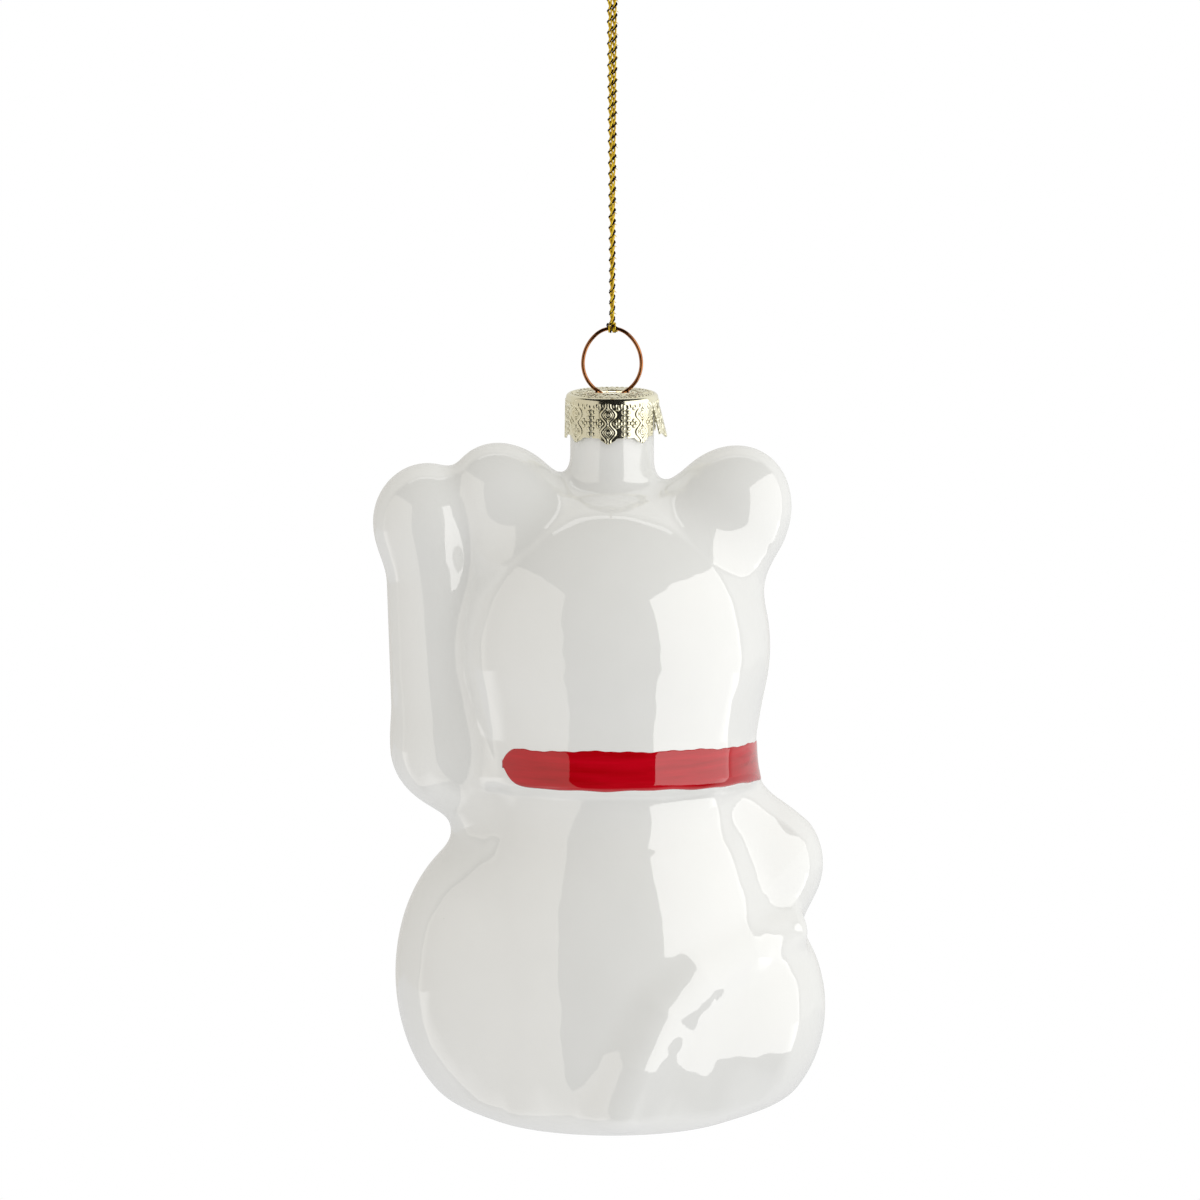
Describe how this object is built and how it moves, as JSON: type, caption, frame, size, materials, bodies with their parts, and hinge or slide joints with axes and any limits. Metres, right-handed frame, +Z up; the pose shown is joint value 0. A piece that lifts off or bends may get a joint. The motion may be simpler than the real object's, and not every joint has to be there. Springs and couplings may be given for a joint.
{
  "type": "hanging cat ornament",
  "caption": "Hollow blown-glass beckoning cat with raised paw, painted collar and pressed cap, hanging from a wire ring on a doubled cord.",
  "frame": {"origin": "the point that the cord hangs from, at the foot of its knot, above the neck's axis", "axes": "+Z up along the cord; the cat faces -Y; +X is the cat's left, the side of its raised paw"},
  "size_m": [0.069, 0.0535, 0.1839],
  "materials": {
    "pearl_glass": "clear gloss glass over white pearl",
    "pearl_lacquer": "white pearl lacquer",
    "red_lacquer": "hand-painted gloss red",
    "pink_lacquer": "hand-painted gloss pink",
    "black_lacquer": "hand-painted gloss black",
    "gold_lacquer": "metallic gold paint",
    "champagne_tinplate": "pressed and embossed, bright champagne gold",
    "copper_wire": "bright copper-brown wire",
    "gold_cord": "metallic gold yarn with dark flecks"
  },
  "bodies": {
    "cord": {"cord_strand_left": "gold_cord", "cord_strand_right": "gold_cord", "cord_hitch": "gold_cord", "cord_knot": "gold_cord"},
    "wire": {"hanger_wire": "copper_wire"},
    "cap": {"ornament_cap": "champagne_tinplate"},
    "cat": {"glass_body": "pearl_glass", "pearl_lining": "pearl_lacquer", "collar_paint": "red_lacquer", "left_ear_paint": "pink_lacquer", "right_ear_paint": "pink_lacquer", "left_eye_paint": "black_lacquer", "right_eye_paint": "black_lacquer", "nose_paint": "pink_lacquer", "mouth_paint": "black_lacquer", "whisker_paint": "black_lacquer", "bell_paint": "gold_lacquer", "koban_paint": "gold_lacquer", "toe_line_paint": "black_lacquer"}
  },
  "joints": [
    {"name": "cord_swing", "type": "hinge", "parent": "cord", "child": "wire", "pos_m": [0, 0, -0.05918], "axis": [1, 0, 0], "range_deg": [-90, 90]},
    {"name": "ring_swivel", "type": "hinge", "parent": "wire", "child": "cap", "pos_m": [0, 0, -0.0693], "axis": [0, 0, 1], "continuous": true},
    {"name": "cap_pull", "type": "slide", "parent": "cap", "child": "cat", "axis": [0, 0, -1], "range_m": [0, 0.022]}
  ]
}
